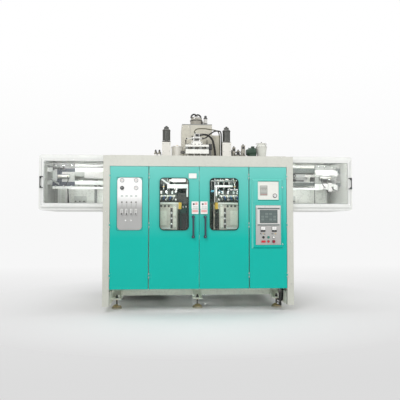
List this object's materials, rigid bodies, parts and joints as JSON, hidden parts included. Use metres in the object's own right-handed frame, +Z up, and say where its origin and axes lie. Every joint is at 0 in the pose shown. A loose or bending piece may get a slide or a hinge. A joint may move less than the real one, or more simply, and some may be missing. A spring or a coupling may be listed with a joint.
{
  "type": "extrusion blow moulding machine",
  "caption": "Twin-station extrusion blow moulding machine: glazed teal front doors, console, roof-mounted extruder and die head, shuttling clamps, blow rams and side take-out guards.",
  "frame": {"origin": "on the floor under the middle of the machine's bounding box", "axes": "+X to the right across the front, +Y to the rear, +Z up; the doors face -Y"},
  "size_m": [4.8, 2.719, 3.378],
  "materials": {
    "base_frame": "satin",
    "levelling_feet": "moulded pad with zinc cap and stud",
    "front_portal": "satin",
    "upper_frame": "satin",
    "enclosure_panels": "satin",
    "guide_rails": "ground",
    "hydraulic_tank": "satin",
    "wing_guards": "satin",
    "right_wing_door": "satin",
    "left_wing_door": "satin",
    "right_wing_window": "clear",
    "left_wing_window": "clear",
    "right_takeout_carriage": "satin",
    "left_takeout_carriage": "satin",
    "left_cabinet_door": "satin",
    "gauge_panel": "brushed",
    "pressure_gauges": "satin",
    "flow_meters": "gloss",
    "air_regulator_knob": "matte",
    "right_safety_door": "satin",
    "left_safety_door": "satin",
    "right_door_window": "clear",
    "left_door_window": "clear",
    "right_door_handle": "satin",
    "left_door_handle": "satin",
    "right_mould_carriage": "satin",
    "left_mould_carriage": "satin",
    "right_front_platen": "machined",
    "left_front_platen": "machined",
    "right_rear_platen": "machined",
    "left_rear_platen": "machined",
    "right_blow_ram": "ground",
    "left_blow_ram": "ground",
    "control_door": "satin",
    "control_panel": "brushed",
    "parison_controller": "satin",
    "touch_screen": "gloss",
    "panel_meters": "gloss",
    "controller_lock": "polished",
    "selector_switch": "matte",
    "start_button": "gloss",
    "reset_button": "gloss",
    "stop_button": "gloss",
    "alarm_button": "gloss",
    "emergency_stop": "gloss",
    "blow_stations": "satin",
    "die_head": "machined",
    "parison_servo": "cast",
    "parison_knife": "ground",
    "extruder_barrel": "machined",
    "extruder_screw": "ground",
    "barrel_cover": "satin",
    "drive_gearbox": "painted casting",
    "drive_motor": "painted casting",
    "material_hopper": "satin",
    "hydraulic_hoses": "matte",
    "air_drum": "satin",
    "valve_groups": "satin",
    "vacuum_pump": "painted casting",
    "filter_canister": "satin"
  },
  "bodies": {
    "machine": {"base_frame": "base_frame", "levelling_feet": "levelling_feet", "front_portal": "front_portal", "upper_frame": "upper_frame", "enclosure_panels": "enclosure_panels", "guide_rails": "guide_rails", "hydraulic_tank": "hydraulic_tank", "wing_guards": "wing_guards", "blow_stations": "blow_stations", "die_head": "die_head", "parison_servo": "parison_servo", "extruder_barrel": "extruder_barrel", "barrel_cover": "barrel_cover", "drive_gearbox": "drive_gearbox", "drive_motor": "drive_motor", "material_hopper": "material_hopper", "hydraulic_hoses": "hydraulic_hoses", "air_drum": "air_drum", "valve_groups": "valve_groups", "vacuum_pump": "vacuum_pump", "filter_canister": "filter_canister"},
    "left_outer_leaf": {"left_cabinet_door": "left_cabinet_door", "gauge_panel": "gauge_panel", "pressure_gauges": "pressure_gauges", "flow_meters": "flow_meters"},
    "regulator_knob": {"air_regulator_knob": "air_regulator_knob"},
    "left_inner_leaf": {"left_safety_door": "left_safety_door", "left_door_window": "left_door_window", "left_door_handle": "left_door_handle"},
    "right_inner_leaf": {"right_safety_door": "right_safety_door", "right_door_window": "right_door_window", "right_door_handle": "right_door_handle"},
    "right_outer_leaf": {"control_door": "control_door", "control_panel": "control_panel", "parison_controller": "parison_controller", "touch_screen": "touch_screen", "panel_meters": "panel_meters"},
    "controller_lock_body": {"controller_lock": "controller_lock"},
    "selector_switch_body": {"selector_switch": "selector_switch"},
    "start_button_body": {"start_button": "start_button"},
    "reset_button_body": {"reset_button": "reset_button"},
    "stop_button_body": {"stop_button": "stop_button"},
    "alarm_button_body": {"alarm_button": "alarm_button"},
    "emergency_stop_body": {"emergency_stop": "emergency_stop"},
    "parison_knife_body": {"parison_knife": "parison_knife"},
    "extruder_screw_body": {"extruder_screw": "extruder_screw"},
    "left_sliding_door": {"left_wing_door": "left_wing_door", "left_wing_window": "left_wing_window"},
    "left_takeout": {"left_takeout_carriage": "left_takeout_carriage"},
    "left_carriage": {"left_mould_carriage": "left_mould_carriage"},
    "left_front_clamp": {"left_front_platen": "left_front_platen"},
    "left_rear_clamp": {"left_rear_platen": "left_rear_platen"},
    "left_ram": {"left_blow_ram": "left_blow_ram"},
    "right_sliding_door": {"right_wing_door": "right_wing_door", "right_wing_window": "right_wing_window"},
    "right_takeout": {"right_takeout_carriage": "right_takeout_carriage"},
    "right_carriage": {"right_mould_carriage": "right_mould_carriage"},
    "right_front_clamp": {"right_front_platen": "right_front_platen"},
    "right_rear_clamp": {"right_rear_platen": "right_rear_platen"},
    "right_ram": {"right_blow_ram": "right_blow_ram"}
  },
  "joints": [
    {"name": "left_outer_leaf_hinge", "type": "hinge", "parent": "machine", "child": "left_outer_leaf", "pos_m": [-1.33, -1.308, 1.3], "axis": [0, 0, -1], "range_deg": [0, 110]},
    {"name": "left_inner_leaf_hinge", "type": "hinge", "parent": "machine", "child": "left_inner_leaf", "pos_m": [-0.75, -1.308, 1.3], "axis": [0, 0, -1], "range_deg": [0, 100]},
    {"name": "right_inner_leaf_hinge", "type": "hinge", "parent": "machine", "child": "right_inner_leaf", "pos_m": [0.75, -1.308, 1.3], "axis": [0, 0, 1], "range_deg": [0, 100]},
    {"name": "right_outer_leaf_hinge", "type": "hinge", "parent": "machine", "child": "right_outer_leaf", "pos_m": [1.33, -1.308, 1.3], "axis": [0, 0, 1], "range_deg": [0, 110]},
    {"name": "regulator_knob_turn", "type": "hinge", "parent": "left_outer_leaf", "child": "regulator_knob", "pos_m": [-1.149, -1.31, 1.851], "axis": [0, -1, 0], "range_deg": [0, 330]},
    {"name": "controller_lock_turn", "type": "hinge", "parent": "right_outer_leaf", "child": "controller_lock_body", "pos_m": [1.145, -1.32, 1.742], "axis": [0, -1, 0], "range_deg": [0, 90]},
    {"name": "selector_switch_turn", "type": "hinge", "parent": "right_outer_leaf", "child": "selector_switch_body", "pos_m": [0.964, -1.33, 1.116], "axis": [0, -1, 0], "range_deg": [-45, 45]},
    {"name": "start_button_press", "type": "slide", "parent": "right_outer_leaf", "child": "start_button_body", "axis": [0, 1, 0], "range_m": [0, 0.004], "stiffness_N_per_m": 400},
    {"name": "reset_button_press", "type": "slide", "parent": "right_outer_leaf", "child": "reset_button_body", "axis": [0, 1, 0], "range_m": [0, 0.004], "stiffness_N_per_m": 400},
    {"name": "stop_button_press", "type": "slide", "parent": "right_outer_leaf", "child": "stop_button_body", "axis": [0, 1, 0], "range_m": [0, 0.004], "stiffness_N_per_m": 400},
    {"name": "alarm_button_press", "type": "slide", "parent": "right_outer_leaf", "child": "alarm_button_body", "axis": [0, 1, 0], "range_m": [0, 0.004], "stiffness_N_per_m": 400},
    {"name": "emergency_stop_press", "type": "slide", "parent": "right_outer_leaf", "child": "emergency_stop_body", "axis": [0, 1, 0], "range_m": [0, 0.004], "stiffness_N_per_m": 400},
    {"name": "left_sliding_door_slide", "type": "slide", "parent": "machine", "child": "left_sliding_door", "axis": [1, 0, 0], "range_m": [0, 0.78]},
    {"name": "right_sliding_door_slide", "type": "slide", "parent": "machine", "child": "right_sliding_door", "axis": [-1, 0, 0], "range_m": [0, 0.78]},
    {"name": "left_takeout_slide", "type": "slide", "parent": "machine", "child": "left_takeout", "axis": [1, 0, 0], "range_m": [0, 0.35]},
    {"name": "right_takeout_slide", "type": "slide", "parent": "machine", "child": "right_takeout", "axis": [-1, 0, 0], "range_m": [0, 0.35]},
    {"name": "left_carriage_shuttle", "type": "slide", "parent": "machine", "child": "left_carriage", "axis": [1, 0, 0], "range_m": [0, 0.495]},
    {"name": "right_carriage_shuttle", "type": "slide", "parent": "machine", "child": "right_carriage", "axis": [1, 0, 0], "range_m": [-0.495, 0]},
    {"name": "left_front_clamp_close", "type": "slide", "parent": "left_carriage", "child": "left_front_clamp", "axis": [0, 1, 0], "range_m": [0, 0.1]},
    {"name": "left_rear_clamp_close", "type": "slide", "parent": "left_carriage", "child": "left_rear_clamp", "axis": [0, 1, 0], "range_m": [-0.1, 0]},
    {"name": "left_ram_stroke", "type": "slide", "parent": "machine", "child": "left_ram", "axis": [0, 0, -1], "range_m": [0, 0.12]},
    {"name": "right_front_clamp_close", "type": "slide", "parent": "right_carriage", "child": "right_front_clamp", "axis": [0, 1, 0], "range_m": [0, 0.1]},
    {"name": "right_rear_clamp_close", "type": "slide", "parent": "right_carriage", "child": "right_rear_clamp", "axis": [0, 1, 0], "range_m": [-0.1, 0]},
    {"name": "right_ram_stroke", "type": "slide", "parent": "machine", "child": "right_ram", "axis": [0, 0, -1], "range_m": [0, 0.12]},
    {"name": "parison_knife_cut", "type": "slide", "parent": "machine", "child": "parison_knife_body", "axis": [0, -1, 0], "range_m": [0, 0.11]},
    {"name": "extruder_screw_turn", "type": "hinge", "parent": "machine", "child": "extruder_screw_body", "pos_m": [0.024, 0, 2.478], "axis": [0, 1, 0], "continuous": true}
  ],
  "couplings": [
    {"joint": "left_rear_clamp_close", "follows": "left_front_clamp_close", "ratio": -1},
    {"joint": "right_rear_clamp_close", "follows": "right_front_clamp_close", "ratio": -1}
  ]
}
